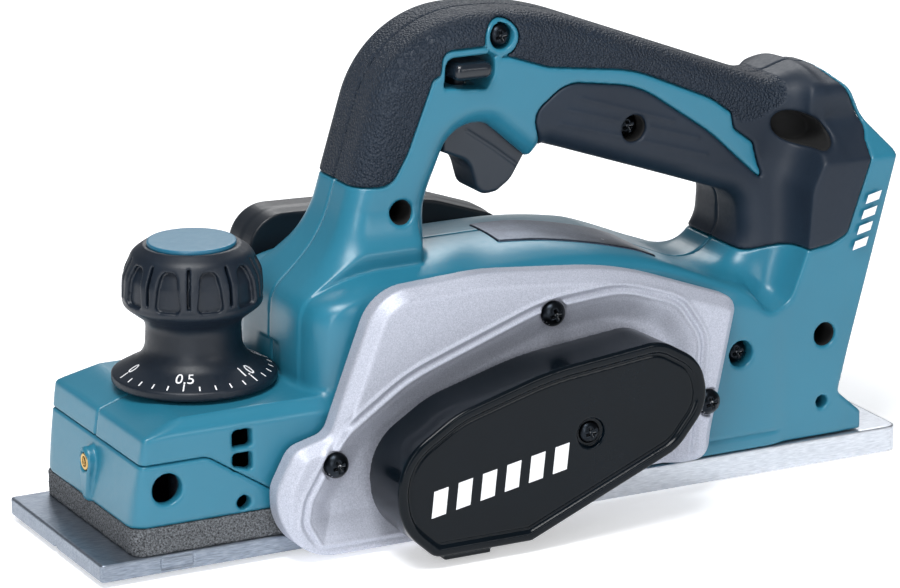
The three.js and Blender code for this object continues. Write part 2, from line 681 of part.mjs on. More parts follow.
function addRear() {
  const block = join(
    box([-11.7, -17, 9], [-1, 17, 26]),
    box([-8, -13, 25], [-6.8, -9, 38]),
    box([-8, 9, 25], [-6.8, 13, 38]),
  );
  add('terminal_block', leaning(block), 'darkPlastic');

  const foot = prismY(rounded([
    [123.5, 10.5, 3], [123.5, 18.5, 3.5], [132, 18.5, 3.5], [148, 9, 2], [148, 1, 1.5],
    [140.5, 1, 1.5], [137, 9, 3],
  ]), -8, 8);
  add('park_foot', cut(foot, rodY(FOOT_PIVOT, 2.05, -20, 20, 16)), 'darkPlastic');
  add('foot_pin', rodY(FOOT_PIVOT, 2, -8.2, 8.2, 16), 'steel');
}

// ---------------------------------------------------------------- chip outlet

const OUTLET = { x: -30, z: 71 };

function addChipOutlet() {
  const coverLineXZ = rounded([[-72, 58, 5], [40, 58, 6], [44, 84, 16], [8, 96.5, 40], [-62, 99, 14]]);
  const outlet = cut(
    join(
      prismY(coverLineXZ, PLATE_OUTER_Y + GAP, 62, 4),
      prismY(inset(coverLineXZ, 3), PLATE_INNER_Y, PLATE_OUTER_Y + 3),
      rodY(OUTLET, 19, 58, NOZZLE_END_Y, 32),
    ),
    rodY(OUTLET, 16.5, 57, NOZZLE_END_Y + 1, 32),
    box([-60, 40, 60.5], [-12, 59, 82]),
    box([-58, 40, 60.5], [-24, 60, 84]),
  );
  add('chip_outlet', outlet, 'darkPlastic');
}

function addNamePlate() {
  const slope = THREE.MathUtils.radToDeg(Math.atan2(12, 40));
  const plate = box([-16, -28, GAP], [16, -9, 1.1]);
  add('name_plate', plate.rotate([0, slope, 0]).translate([40, 0, 91.4]), 'plate');
}

addSoles();
addCasing();
addBeltSide();
addDrum();
addMotor();
addDepthKnob();
addHandleMechanism();
addRear();
addChipOutlet();
addNamePlate();

export default planer;
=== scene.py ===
# Cordless hand planer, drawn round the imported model.
# Shapes are worked out in millimetres, in the model's own frame: front (depth knob) towards -X, belt side
# towards -Y, +Z up from the rear sole. Meshes are written in metres.

import json
import math

import bpy
import numpy as np
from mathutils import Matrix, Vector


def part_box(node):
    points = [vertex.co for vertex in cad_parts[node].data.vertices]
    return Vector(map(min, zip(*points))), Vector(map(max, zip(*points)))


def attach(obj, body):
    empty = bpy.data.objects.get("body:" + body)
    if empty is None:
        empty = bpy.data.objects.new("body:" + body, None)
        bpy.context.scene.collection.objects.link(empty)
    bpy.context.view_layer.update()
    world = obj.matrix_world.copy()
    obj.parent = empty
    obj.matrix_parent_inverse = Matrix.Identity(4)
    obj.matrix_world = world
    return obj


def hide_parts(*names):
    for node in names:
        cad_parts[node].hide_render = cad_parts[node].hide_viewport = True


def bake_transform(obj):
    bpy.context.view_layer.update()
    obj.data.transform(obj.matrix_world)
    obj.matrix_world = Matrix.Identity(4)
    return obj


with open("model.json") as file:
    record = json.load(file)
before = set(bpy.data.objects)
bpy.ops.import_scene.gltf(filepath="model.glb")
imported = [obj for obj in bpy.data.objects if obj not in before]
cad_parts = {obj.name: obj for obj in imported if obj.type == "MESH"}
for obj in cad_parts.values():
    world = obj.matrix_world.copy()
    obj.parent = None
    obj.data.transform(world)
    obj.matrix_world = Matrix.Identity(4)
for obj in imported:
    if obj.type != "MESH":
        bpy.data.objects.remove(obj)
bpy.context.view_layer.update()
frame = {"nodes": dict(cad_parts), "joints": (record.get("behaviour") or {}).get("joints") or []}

import openvdb
from mathutils import Matrix, Vector

MM = 1000.0

# ---------------------------------------------------------------- places taken from the frame, in mm

JOINTS = {joint["name"]: joint for joint in frame["joints"]}


def pivot(joint):
    return [v * MM for v in JOINTS[joint]["pos_m"]]


def low(node):
    return [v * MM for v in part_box(node)[0]]


def high(node):
    return [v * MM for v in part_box(node)[1]]


KNOB = pivot("knob_turn")
DRUM = pivot("drum_spin")
MOTOR = pivot("motor_spin")
FOOT = pivot("foot_swing")
SIDE = high("rear_base")[1]
HANDLE_SIDE = high("trigger_pin")[1] + 6.0
FRAME_FACE = low("side_frame")[1]
FRAME_BACK = high("side_frame")[1]
COVER_FACE = low("belt_cover")[1]
COVER_BACK = high("belt_cover")[1]
FRONT_LOW = low("front_base")[2]
FRONT_TOP = high("front_base")[2]
NOSE_SIDE = SIDE - 1.0


def round_room(node):
    """Radius of the bore that a round node along Y sits in."""
    return (high(node)[0] - low(node)[0]) / 2 + 0.3


# ---------------------------------------------------------------- fields: signed distances on a grid


class Space:
    """A block of space, sampled every `step` mm. A field is an array of distances on it, below 0 inside."""

    def __init__(self, lowest, highest, step):
        self.low = np.array(lowest, np.float32)
        self.step = step
        x, y, z = (np.arange(a, b + step, step, dtype=np.float32) for a, b in zip(lowest, highest))
        self.x, self.y, self.z = x[:, None, None], y[None, :, None], z[None, None, :]

    def xz(self, points):
        return outline(points, self.x, self.z)

    def yz(self, points):
        return outline(points, self.y, self.z)

    def xy(self, points):
        return outline(points, self.x, self.y)

    def rod_y(self, x, z, radius):
        return np.hypot(self.x - x, self.z - z) - radius

    def rod_z(self, x, y, radius):
        return np.hypot(self.x - x, self.y - y) - radius


def rounded(corners, chord=1.6):
    """A closed outline through corners (u, v, radius), each rounded by an arc of short chords."""
    points = []
    for i, corner in enumerate(corners):
        at = np.array(corner[:2], float)
        radius = corner[2] if len(corner) > 2 else 0
        if radius == 0:
            points.append(at)
            continue
        before = np.array(corners[i - 1][:2]) - at
        after = np.array(corners[(i + 1) % len(corners)][:2]) - at
        before /= np.hypot(*before)
        after /= np.hypot(*after)
        half = math.acos(max(-1.0, min(1.0, before @ after))) / 2
        middle = before + after
        centre = at + middle / np.hypot(*middle) * radius / math.sin(half)
        start = at + before * radius / math.tan(half) - centre
        end = at + after * radius / math.tan(half) - centre
        turn = math.atan2(start[0] * end[1] - start[1] * end[0], start @ end)
        count = max(3, math.ceil(abs(turn) * radius / chord))
        for k in range(count + 1):
            c, s = math.cos(turn * k / count), math.sin(turn * k / count)
            points.append(centre + (c * start[0] - s * start[1], s * start[0] + c * start[1]))
    return points


def outline(points, u, v):
    """Signed distance to a closed outline."""
    nearest = np.full(np.broadcast(u, v).shape, 1e9, np.float32)
    inside = np.zeros(nearest.shape, bool)
    for (au, av), (bu, bv) in zip(points, points[1:] + points[:1]):
        du, dv = bu - au, bv - av
        length = du * du + dv * dv
        if length < 1e-9:
            continue
        t = np.clip(((u - au) * du + (v - av) * dv) / length, 0, 1)
        nearest = np.minimum(nearest, (u - au - t * du) ** 2 + (v - av - t * dv) ** 2)
        if av != bv:
            inside ^= ((av > v) != (bv > v)) & (u < du * (v - av) / dv + au)
    distance = np.sqrt(nearest)
    return np.where(inside, -distance, distance).astype(np.float32)


def path(points, u, v):
    """Distance to an open line."""
    nearest = np.full(np.broadcast(u, v).shape, 1e9, np.float32)
    for (au, av), (bu, bv) in zip(points, points[1:]):
        du, dv = bu - au, bv - av
        t = np.clip(((u - au) * du + (v - av) * dv) / (du * du + dv * dv), 0, 1)
        nearest = np.minimum(nearest, (u - au - t * du) ** 2 + (v - av - t * dv) ** 2)
    return np.sqrt(nearest)


def both(a, b, k=0.0):
    """What two fields share, with the meeting edge eased over k mm."""
    if k == 0:
        return np.maximum(a, b)
    h = np.clip(0.5 - 0.5 * (b - a) / k, 0, 1)
    return b + (a - b) * h + k * h * (1 - h)


def either(a, b, k=0.0):
    return -both(-a, -b, k)


def without(a, b, k=0.0):
    return both(a, -b, k)


def slab(flat, across, radius):
    """A flat outline given thickness, with its edges rounded."""
    a, b = flat + radius, across + radius
    return np.minimum(np.maximum(a, b), 0) + np.hypot(np.maximum(a, 0), np.maximum(b, 0)) - radius


def between(v, start, end):
    return np.maximum(start - v, v - end)


def ease(v, start, end):
    t = np.clip((v - start) / (end - start), 0, 1)
    return t * t * (3 - 2 * t)


# ---------------------------------------------------------------- meshes


def link(name, vertices, faces, smooth=True):
    mesh = bpy.data.meshes.new(name)
    vertices = np.ascontiguousarray(vertices, np.float32) / MM
    faces = np.ascontiguousarray(faces, np.int32)
    corners = faces.shape[1]
    mesh.vertices.add(len(vertices))
    mesh.vertices.foreach_set("co", vertices.ravel())
    mesh.loops.add(faces.size)
    mesh.loops.foreach_set("vertex_index", faces.ravel())
    mesh.polygons.add(len(faces))
    mesh.polygons.foreach_set("loop_start", np.arange(0, faces.size, corners, dtype=np.int32))
    mesh.polygons.foreach_set("use_smooth", np.full(len(faces), smooth))
    mesh.update(calc_edges=True)
    mesh.validate()
    piece = bpy.data.objects.new(name, mesh)
    bpy.context.scene.collection.objects.link(piece)
    return piece


def surface(space, field):
    """The quads of a field's zero surface, facing outwards."""
    grid = openvdb.FloatGrid(3.0)
    grid.copyFromArray(np.clip(np.ascontiguousarray(field, np.float32), -3, 3))
    grid.transform = openvdb.createLinearTransform(voxelSize=space.step)
    points, quads = grid.convertToQuads(isovalue=0)
    return points + space.low, quads[:, ::-1]


def place(piece, body, material, stands_for=()):
    piece.data.materials.clear()
    piece.data.materials.append(material)
    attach(piece, body)
    if stands_for:
        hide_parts(*stands_for)
    return piece


def shape(name, space, field, body, material, stands_for=()):
    points, quads = surface(space, field)
    return place(link(name, points, quads), body, material, stands_for)


# ---------------------------------------------------------------- materials


def linear(code):
    value = [int(code[i:i + 2], 16) / 255 for i in (0, 2, 4)]
    return [v / 12.92 if v < 0.04045 else ((v + 0.055) / 1.055) ** 2.4 for v in value] + [1.0]


class Look:
    """A principled material whose textures are laid in the object's own coordinates."""

    def __init__(self, name, color, roughness, metallic=0.0, **sockets):
        self.material = bpy.data.materials.new(name)
        self.material.use_nodes = True
        self.tree = self.material.node_tree
        self.shader = self.tree.nodes["Principled BSDF"]
        self.shader.inputs["Base Color"].default_value = linear(color)
        self.shader.inputs["Roughness"].default_value = roughness
        self.shader.inputs["Metallic"].default_value = metallic
        for socket, value in sockets.items():
            self.shader.inputs[socket.replace("_", " ")].default_value = value
        self.coordinates = self.tree.nodes.new("ShaderNodeTexCoord").outputs["Object"]

    def node(self, kind, **inputs):
        node = self.tree.nodes.new(kind)
        for name, value in inputs.items():
            socket = node.inputs[name.replace("_", " ")]
            if isinstance(value, bpy.types.NodeSocket):
                self.tree.links.new(value, socket)
            else:
                socket.default_value = value
        return node

    def stretched(self, stretch):
        if stretch is None:
            return self.coordinates
        return self.node("ShaderNodeMapping", Vector=self.coordinates, Scale=stretch).outputs[0]

    def noise(self, size, detail=2.0, roughness=0.5, stretch=None):
        """Noise whose grains are about `size` mm."""
        node = self.node("ShaderNodeTexNoise", Vector=self.stretched(stretch), Scale=MM / size,
                         Detail=detail, Roughness=roughness)
        return node.outputs[0]

    def cells(self, size, stretch=None):
        node = self.node("ShaderNodeTexVoronoi", Vector=self.stretched(stretch), Scale=MM / size)
        return node.outputs["Distance"]

    def span(self, value, start, end, low_value=0.0, high_value=1.0):
        node = self.node("ShaderNodeMapRange", Value=value, From_Min=start, From_Max=end,
                         To_Min=low_value, To_Max=high_value)
        return node.outputs[0]

    def tint(self, value, first, second):
        ramp = self.node("ShaderNodeValToRGB", Fac=value)
        ramp.color_ramp.elements[0].color = linear(first)
        ramp.color_ramp.elements[1].color = linear(second)
        self.tree.links.new(ramp.outputs[0], self.shader.inputs["Base Color"])
        return ramp.outputs[0]

    def overlay(self, value, color):
        """Paints a color over what is there, as far as value says."""
        under = self.shader.inputs["Base Color"]
        node = self.tree.nodes.new("ShaderNodeMix")
        node.data_type = "RGBA"
        self.tree.links.new(value, node.inputs[0])
        if under.links:
            self.tree.links.new(under.links[0].from_socket, node.inputs[6])
        else:
            node.inputs[6].default_value = under.default_value[:]
        node.inputs[7].default_value = linear(color)
        self.tree.links.new(node.outputs[2], under)

    def rough(self, value, low_value, high_value):
        self.tree.links.new(self.span(value, 0, 1, low_value, high_value), self.shader.inputs["Roughness"])

    def bump(self, value, depth, strength=1.0):
        """Height in mm where value is 1."""
        normal = self.shader.inputs["Normal"]
        node = self.node("ShaderNodeBump", Height=value, Distance=depth / MM, Strength=strength)
        if normal.links:
            self.tree.links.new(normal.links[0].from_socket, node.inputs["Normal"])
        self.tree.links.new(node.outputs[0], normal)

    def multiply(self, a, b):
        node = self.tree.nodes.new("ShaderNodeMath")
        node.operation = "MULTIPLY"
        self.tree.links.new(a, node.inputs[0])
        self.tree.links.new(b, node.inputs[1])
        return node.outputs[0]

    def attribute(self, name):
        node = self.tree.nodes.new("ShaderNodeAttribute")
        node.attribute_name = name
        return node.outputs["Fac"]

    def painted_edge_highlight(self, color, start=0.52, end=0.6):
        """Painted highlight: lighter along sharp edges."""
        edge = self.tree.nodes.new("ShaderNodeNewGeometry").outputs["Pointiness"]
        self.overlay(self.span(edge, start, end, 0, 0.6), color)


def moulded(name, color, lighter, roughness, grain=0.35, depth=0.02):
    look = Look(name, color, roughness)
    look.tint(look.noise(40, 3), color, lighter)
    look.rough(look.noise(3, 3), roughness - 0.06, roughness + 0.08)
    look.bump(look.noise(grain, 3), depth)
    look.bump(look.noise(9, 2), 0.03)
    return look.material


def grip_rubber():
    look = Look("grip_rubber", "28323f", 0.55, Specular_IOR_Level=0.32)
    look.tint(look.noise(25, 3), "141d29", "1d2937")
    mask = look.attribute("grain")
    leather = look.multiply(look.span(look.cells(0.95), 0.1, 0.7), mask)
    fine = look.multiply(look.noise(0.55, 3, 0.6), mask)
    look.bump(leather, 0.5, 1.0)
    look.bump(fine, 0.14, 0.8)
    look.bump(look.noise(0.4, 2), 0.012)
    look.rough(look.noise(1.5, 3), 0.42, 0.62)
    return look.material


def knob_rubber():
    look = Look("knob_rubber", "1d2731", 0.36, Specular_IOR_Level=0.4)
    look.tint(look.noise(12, 3), "0b131d", "111d2a")
    look.bump(look.noise(0.45, 3), 0.03)
    look.rough(look.noise(2, 3), 0.34, 0.52)
    return look.material


def silver_paint():
    look = Look("silver_paint", "c3c7d4", 0.38, 0.3)
    speckle = look.noise(0.45, 3, 0.7)
    look.tint(look.span(speckle, 0.3, 0.7), "9a9fae", "c4c8d4")
    look.rough(look.noise(0.5, 3), 0.36, 0.58)
    look.bump(speckle, 0.05)
    look.bump(look.noise(6, 2), 0.03)
    return look.material


def gloss_plastic():
    look = Look("gloss_plastic", "0c161f", 0.14, Specular_IOR_Level=0.16)
    look.tint(look.noise(30, 2), "040a0f", "081119")
    look.rough(look.noise(14, 4), 0.1, 0.24)
    look.bump(look.noise(7, 2), 0.02)
    scratches = look.noise(1.0, 2, 0.5, (0.25, 1, 3))
    look.bump(look.span(scratches, 0.62, 0.7), 0.006)
    return look.material


def brushed(name, dark, light, rough_low, rough_high, along=(0.12, 1, 1), grain=0.5, metallic=0.9):
    look = Look(name, light, rough_low, metallic)
    streaks = look.noise(grain, 4, 0.6, along)
    look.tint(look.span(streaks, 0.3, 0.7), dark, light)
    look.rough(look.noise(4, 3), rough_low, rough_high)
    look.bump(streaks, 0.012)
    return look.material


def seal_foam():
    look = Look("seal_foam", "707378", 0.95)
    speckle = look.noise(0.75, 4, 0.8)
    look.tint(look.span(speckle, 0.38, 0.64), "15171a", "7b7f84")
    look.bump(speckle, 0.5)
    look.bump(look.cells(1.3), 0.3)
    return look.material


def metal(name, dark, light, roughness, depth=0.02, grain=0.8):
    look = Look(name, light, roughness, 1.0)
    look.tint(look.noise(grain * 6, 3), dark, light)
    look.rough(look.noise(grain, 3), roughness - 0.08, roughness + 0.12)
    look.bump(look.noise(grain, 3), depth)
    # painted highlight: a pale steel colour laid over sharp edges
    look.painted_edge_highlight("d8dadd")
    return look.material


def plain_dark(name, color, lighter, roughness):
    return moulded(name, color, lighter, roughness, 0.4, 0.015)


TEAL = moulded("teal_plastic", "226b83", "29768f", 0.31)
DEEP_TEAL = moulded("cap_teal", "145a76", "1b6682", 0.34)
GRIP = grip_rubber()
KNOB_RUBBER = knob_rubber()
SILVER = silver_paint()
GLOSS = gloss_plastic()
SOLE = brushed("machined_sole", "b4b9c1", "d6dae0", 0.28, 0.5)
SOLE_DARK = brushed("front_sole", "6d7683", "98a1ad", 0.3, 0.52)
FOAM = seal_foam()
BLACK_SCREW = metal("black_oxide", "14171b", "2b3036", 0.3)
STEEL = metal("turned_steel", "8d9196", "b4b8bc", 0.32)
BEARING = metal("bearing_steel", "a0a4a8", "c6c9cc", 0.22)
BLADE = metal("blade_steel", "c2c5c9", "e2e4e6", 0.16)
BRASS = metal("brass", "b08a48", "d9b873", 0.3)
COPPER = metal("copper", "8c4f2b", "b5713f", 0.35)
BLACK = plain_dark("black_plastic", "0e141b", "171f28", 0.4)
# painted shade: a near-black colour that lines deep holes so they read as dark
HOLE_SHADE_BLACK = plain_dark("painted_hole_shade", "010102", "020304", 0.85)
LEVER_BLACK = plain_dark("lever_plastic", "10161d", "19212a", 0.22)
TRIGGER_BLACK = plain_dark("trigger_plastic", "18212c", "222d39", 0.38)
BELT = plain_dark("belt_rubber", "121315", "1c1e21", 0.75)
WHITE = plain_dark("white_print", "e8eaee", "f6f7f9", 0.45)
PLATE = metal("dark_plate", "2c3441", "565f6e", 0.34, 0.01)

# ---------------------------------------------------------------- casing

HANDLE_LINE = rounded([
    (-66, 60), (148, 60), (148, 118, 12), (134, 138.5, 9),
    (118, 139.6, 26), (21.4, 177.3, 110), (-33, 177.3, 42), (-60.3, 90, 25), (-66, 78),
])
WINDOW_LINE = rounded([
    (-25.5, 50), (92, 50), (99.5, 71, 14), (106, 84, 14), (105.5, 99, 8), (33, 124.8, 9),
    (25, 127.5, 2), (19.8, 122.6, 1), (3, 137.5, 9), (-11, 137.5, 14), (-22, 112, 35),
])
BODY_LINE = rounded([
    (-12, 9.8), (100, 9.8), (100, 68, 10), (58, 86, 50), (18, 98, 60),
    (-48, 98, 16), (-62, 91, 14), (-76, 83, 12), (-78, 50), (-78, 17.5), (-12, 17.5),
])
ROOF_LINE = rounded([(-SIDE, 5), (SIDE, 5), (SIDE, 87, 16), (0, 99.5, 90), (-SIDE, 87, 16)])
PLAN_LINE = rounded([(-78, -42, 22), (120, -42), (120, 42), (-78, 42, 22)])
FLANGE_LINE = rounded([
    (66, 9.8), (145, 9.8), (145, 17), (134.8, 26, 2), (158.9, 114.1, 2), (143.5, 142, 2), (137, 142, 8),
    (129, 136, 8), (132, 124, 8), (122.4, 103.3, 12), (120.8, 82.5, 20), (113.6, 63.9, 8),
    (103.2, 56.5, 9), (90, 62, 6), (66, 62),
])
FLANGE_SECTION = rounded([
    (-NOSE_SIDE, 5), (NOSE_SIDE, 5), (NOSE_SIDE, 113, 2), (24, 124.5, 4), (26.5, 137, 4), (0, 143, 60),
    (-26.5, 137, 4), (-24, 124.5, 4), (-NOSE_SIDE, 113, 2),
])
FLANGE_REACH = rounded([
    (-200, 0), (145, 0), (145, 17), (134.8, 26, 2), (158.9, 114.1, 2), (143.4, 142.2, 3), (100, 160),
    (21, 200), (-200, 200),
])
NOSE_LINE = rounded([(-147.5, 17.5), (-70, 17.5), (-70, 55), (-127, 55, 5), (-142.5, 49.6, 2)])
NOSE_SECTION = rounded([
    (-NOSE_SIDE, 10), (NOSE_SIDE, 10), (NOSE_SIDE, 49.5), (35.5, 55), (-35.5, 55), (-NOSE_SIDE, 49.5),
])
NOSE_PLAN = rounded([(-148, -NOSE_SIDE, 8), (-60, -NOSE_SIDE), (-60, NOSE_SIDE), (-148, NOSE_SIDE, 8)])
SKIRT_LINE = rounded([(-152, 10), (-76, 10), (-84, 17.5, 2), (-119, 40, 6), (-152, 40)])
SKIN_LINE = rounded([
    (-80, 121.5), (-37, 120.6, 7), (-30.5, 131.5, 14), (-20.4, 156.6, 1.5), (-17.2, 158, 1.5),
    (-16.4, 166.4, 4), (0.5, 166.4, 1), (3.2, 162.6, 1), (11.5, 161.2, 2), (25.7, 156.1, 20),
    (60, 151.3, 60), (92.5, 137, 30), (101, 130.5, 1.5), (102, 124.5, 3), (110, 118.5, 2), (114, 103.2, 1),
    (92, 124, 80), (62, 144.8, 40), (33, 149.4, 14), (19.2, 139, 7), (24, 126), (24, 110), (72, 98),
    (82, 92.3, 6), (97, 83.2, 8), (104.5, 78.6, 6), (118, 81.5, 20), (130, 83, 4), (137, 86, 4),
    (148.8, 118.4, 3), (151.8, 122, 3), (142.6, 139.5, 2), (142, 150), (138, 200), (-80, 200),
])
LEVER_LINE = rounded([(-16, 152.8, 1), (1, 150.8, 1), (4, 156, 1.5), (4, 163.4, 3), (-15, 163.4, 3)])

SCREWS = {
    "handle_screw_front": (7.1, 169.0, 4.7),
    "handle_screw_rear": (60.1, 129.5, 5.0),
    "handle_leg_screw": (-33.2, 110.4, 4.5),
    "casing_screw_front": (92.2, 46.7, 4.9),
    "casing_screw_rear": (128.2, 48.7, 4.5),
}

HOLE_FLOOR = {
    "handle_screw_front": -8.0,
    "handle_screw_rear": -8.0,
    "handle_leg_screw": -2.0,
    "casing_screw_front": -30.0,
    "casing_screw_rear": -22.0,
}

SCREW_DEPTH = {
    "handle_screw_front": -15,
    "handle_screw_rear": -11.6,
    "handle_leg_screw": -3.5,
    "casing_screw_front": -36.6,
    "casing_screw_rear": -23.5,
}

NOSE_HOLE = (-134.1, 30.8, 5.6)
NOSE_LOW_HOLE = (-105.4, 21.5, 2.6)
REAR_LOW_HOLE = (127.5, 23.1, 2.5)
REAR_CORNER = (134.8, 26)
REAR_LEAN = math.atan2(24.3, 88.1)
OVAL_AT = (126.6, 122.6)
OVAL_HALF = (9.6, 5.8)
OVAL_TURN = math.radians(-20)


def nose_field(s):
    side = both(s.xz(NOSE_LINE), s.yz(NOSE_SECTION), 2.2)
    return both(side, s.xy(NOSE_PLAN), 2.2)


def shell_field(s):
    """The whole outer surface of casing, grips and battery end."""
    across = np.abs(s.y)
    leg = np.clip(112 - s.z, 0, 30) * 0.16
    handle = slab(without(s.xz(HANDLE_LINE), s.xz(WINDOW_LINE)), across - HANDLE_SIDE - leg, 8.5)
    body = both(slab(s.xz(BODY_LINE), across - SIDE, 1.2), s.yz(ROOF_LINE), 8)
    body = both(body, s.xy(PLAN_LINE), 6)
    foot = s.xy(rounded([(-90, -23.5, 8), (-26.5, -23.5, 3), (-26.5, 23.5, 3), (-90, 23.5, 8)]))
    flared = either(handle, body, 18)
    rear = np.maximum(flared, 74 - s.x)
    shell = either(handle, body, 2.5)
    shell = either(shell, both(flared, foot, 0.9))
    shell = either(shell, rear)
    flange = both(s.xz(FLANGE_LINE), s.yz(FLANGE_SECTION), 1.6)
    shell = either(shell, flange, 14)
    rim = either(s.yz(FLANGE_SECTION), s.x - 134, 6)
    limit = both(np.maximum(across - SIDE, 9.8 - s.z), both(s.xz(FLANGE_REACH), rim, 1.6), 1.2)
    return either(both(shell, limit, 1.2), nose_field(s), 3)


def skin_zone(s):
    ring = s.rod_y(7.1, 168.6, 6.9)
    zone = without(s.xz(SKIN_LINE), ring, 0.6)
    return both(zone, 70 - s.z)


def rooms(s):
    """Hollows that show, or that inner parts turn in."""
    across = np.abs(s.y)
    motor = np.maximum(np.maximum(between(s.x, 4, 63), between(s.z, 15, 80)), between(s.y, -50, 37))
    under_roof = np.maximum(s.xz(BODY_LINE), s.yz(ROOF_LINE)) + 4.5
    motor = np.maximum(motor, under_roof)
    bearing = np.maximum(s.rod_y(MOTOR[0], MOTOR[2], 14), s.y)
    chamber = np.maximum(s.rod_y(DRUM[0], DRUM[2], 31), across - 60)
    throat = np.maximum(between(s.x, DRUM[0] - 31, -8), s.z - DRUM[2])
    duct = np.maximum(np.maximum(between(s.x, -60, -24), between(s.z, 45, 84)), 4 - s.y)
    nose = np.maximum(np.maximum(between(s.x, -139, -80), s.z - 46), across - 35)
    trigger = np.maximum(np.maximum(between(s.x, -15, 23), between(s.z, 118, 146)), across - 9.7)
    tooth = np.maximum(np.maximum(between(s.x, -8.6, -1.4), between(s.z, 144, 156)), across - 9.4)
    lever = np.minimum(s.xz(LEVER_LINE), tooth)
    dial = np.maximum(s.rod_z(KNOB[0], KNOB[1], 30), between(s.z, 55.3, 66))
    dx, dz = s.x - REAR_CORNER[0], s.z - REAR_CORNER[1]
    out = dx * math.cos(REAR_LEAN) - dz * math.sin(REAR_LEAN)
    up = dx * math.sin(REAR_LEAN) + dz * math.cos(REAR_LEAN)
    hood = s.yz(FLANGE_SECTION) + 2.4
    mouth = np.maximum(np.maximum(np.maximum(-4 - out, 8 - up), across - 31), hood)
    slot = np.maximum(np.maximum(np.maximum(between(out, -12, -4), 8 - up), across - 35), hood)
    foot = np.maximum(np.maximum(122 - s.x, s.z - 19.5), across - 8.3)
    spindle = np.maximum(s.rod_z(KNOB[0], KNOB[1], 4.6), 30 - s.z)
    windows = np.maximum(either(
        s.xz(rounded([(-109.4, 41.4, 1), (-102, 41.4, 1), (-102, 48, 1), (-109.4, 48, 1)])),
        s.xz(rounded([(-109.4, 34.8, 1), (-102, 32.6, 1), (-102, 39.6, 1), (-109.4, 39.6, 1)])),
    ), s.y + 30)
    holes = {
        "motor": motor, "bearing": bearing, "chamber": chamber, "throat": throat, "duct": duct, "nose": nose,
        "trigger": trigger, "lever": lever, "mouth": mouth, "slot": slot, "foot": foot, "spindle": spindle,
        "windows": windows, "dial": dial,
    }
    for name, (x, z, radius) in SCREWS.items():
        holes[name] = np.maximum(s.rod_y(x, z, radius), s.y - HOLE_FLOOR[name])
    holes["low_hole"] = np.maximum(s.rod_y(*REAR_LOW_HOLE), s.y + 20)
    holes["oval"] = oval(s)
    return holes


def oval(s, grow=0.0):
    dx, dz = s.x - OVAL_AT[0], s.z - OVAL_AT[1]
    u = dx * math.cos(OVAL_TURN) + dz * math.sin(OVAL_TURN)
    v = -dx * math.sin(OVAL_TURN) + dz * math.cos(OVAL_TURN)
    long, short = OVAL_HALF
    return np.maximum((np.hypot(u / long, v / short) - 1) * short - grow, s.y + 14 - grow)


BOTTOM_SEAM = [(78, 15.2), (116.9, 15.2), (121, 17.6), (124.6, 26.2), (127, 27.8), (134.6, 27.5)]


def casing_pieces():
    s = Space((-151, -43.2, 8), (162, 43.2, 181), 0.8)
    shell = shell_field(s)
    zone = skin_zone(s)
    body = without(shell, np.maximum(zone - 0.35, -1.9 - shell), 0.8)
    body = without(body, s.xz(SKIRT_LINE) - 0.15, 0.35)
    for hole in rooms(s).values():
        body = without(body, hole, 0.7)
    pad = s.xz(rounded([(-110, 10), (-100.6, 10), (-100.6, 26.5, 4.5), (-110, 26.5, 4.5)]))
    seam = path(BOTTOM_SEAM, s.x, s.z)
    body = without(body, np.maximum(seam - 0.5, np.abs(s.y + SIDE) - 0.7), 0.5)
    for side, half in (("left", s.y + 0.1), ("right", 0.1 - s.y)):
        casing = both(body, half, 0.4)
        shape(f"{side}_casing_shell", s, casing, "housing", TEAL, [f"{side}_casing"])

    skirt = both(nose_field(s), s.xz(SKIRT_LINE), 0.35)
    arch = s.yz(rounded([(-5.6, 37, 5.4), (5.6, 37, 5.4), (2.2, 17.5), (-2.2, 17.5)]))
    boss = slab(arch, between(s.x, -148.6, -140), 1.0)
    skirt = either(skirt, boss, 0.8)
    skirt = without(skirt, np.maximum(np.maximum(-139 - s.x, np.abs(s.y) - 35), s.z - 60), 0.6)
    skirt = without(skirt, np.maximum(s.rod_y(*NOSE_HOLE), s.y + 34), 0.8)
    skirt = without(skirt, np.maximum(s.rod_y(*NOSE_LOW_HOLE), s.y + 34), 0.6)
    skirt = without(skirt, np.maximum(np.hypot(s.y, s.z - 31.4) - 3.2, s.x + 142), 0.5)
    skirt = without(skirt, np.maximum(np.abs(pad) - 0.35, np.abs(s.y + NOSE_SIDE) - 0.6), 0.5)
    window = np.maximum(between(s.x, -109.4, -102), between(s.z, 33, 48))
    skirt = without(skirt, np.maximum(window, s.y + 30), 0.6)
    shape("nose_skirt_shell", s, skirt, "housing", TEAL, ["nose_skirt"])


def sockets():
    """Near-black linings of the deep screw holes and of the oval opening: painted shade inside them."""
    s = Space((-40, -43, 40), (140, 3, 135), 0.7)
    shell = shell_field(s)
    cups = without(oval(s, 1.2), oval(s, -0.4), 0.3)
    for name in ("handle_leg_screw", "handle_screw_rear", "casing_screw_rear"):
        x, z, radius = SCREWS[name]
        floor = HOLE_FLOOR[name]
        cup = without(np.maximum(s.rod_y(x, z, radius + 1.2), s.y - floor - 1.2),
                      np.maximum(s.rod_y(x, z, radius - 0.35), s.y - floor), 0.3)
        cups = either(cups, cup)
    shape("hole_shade_linings", s, both(cups, shell + 1.3), "housing", HOLE_SHADE_BLACK)


PALM_RIBS = [
    [(38, 143.5), (58.4, 136.6), (76.2, 130.6)],
    [(32.7, 139.8), (54, 133.2)],
    [(66, 129.6), (86.7, 122.9)],
    [(29.8, 135), (55.9, 127.1), (90.1, 116.3)],
]


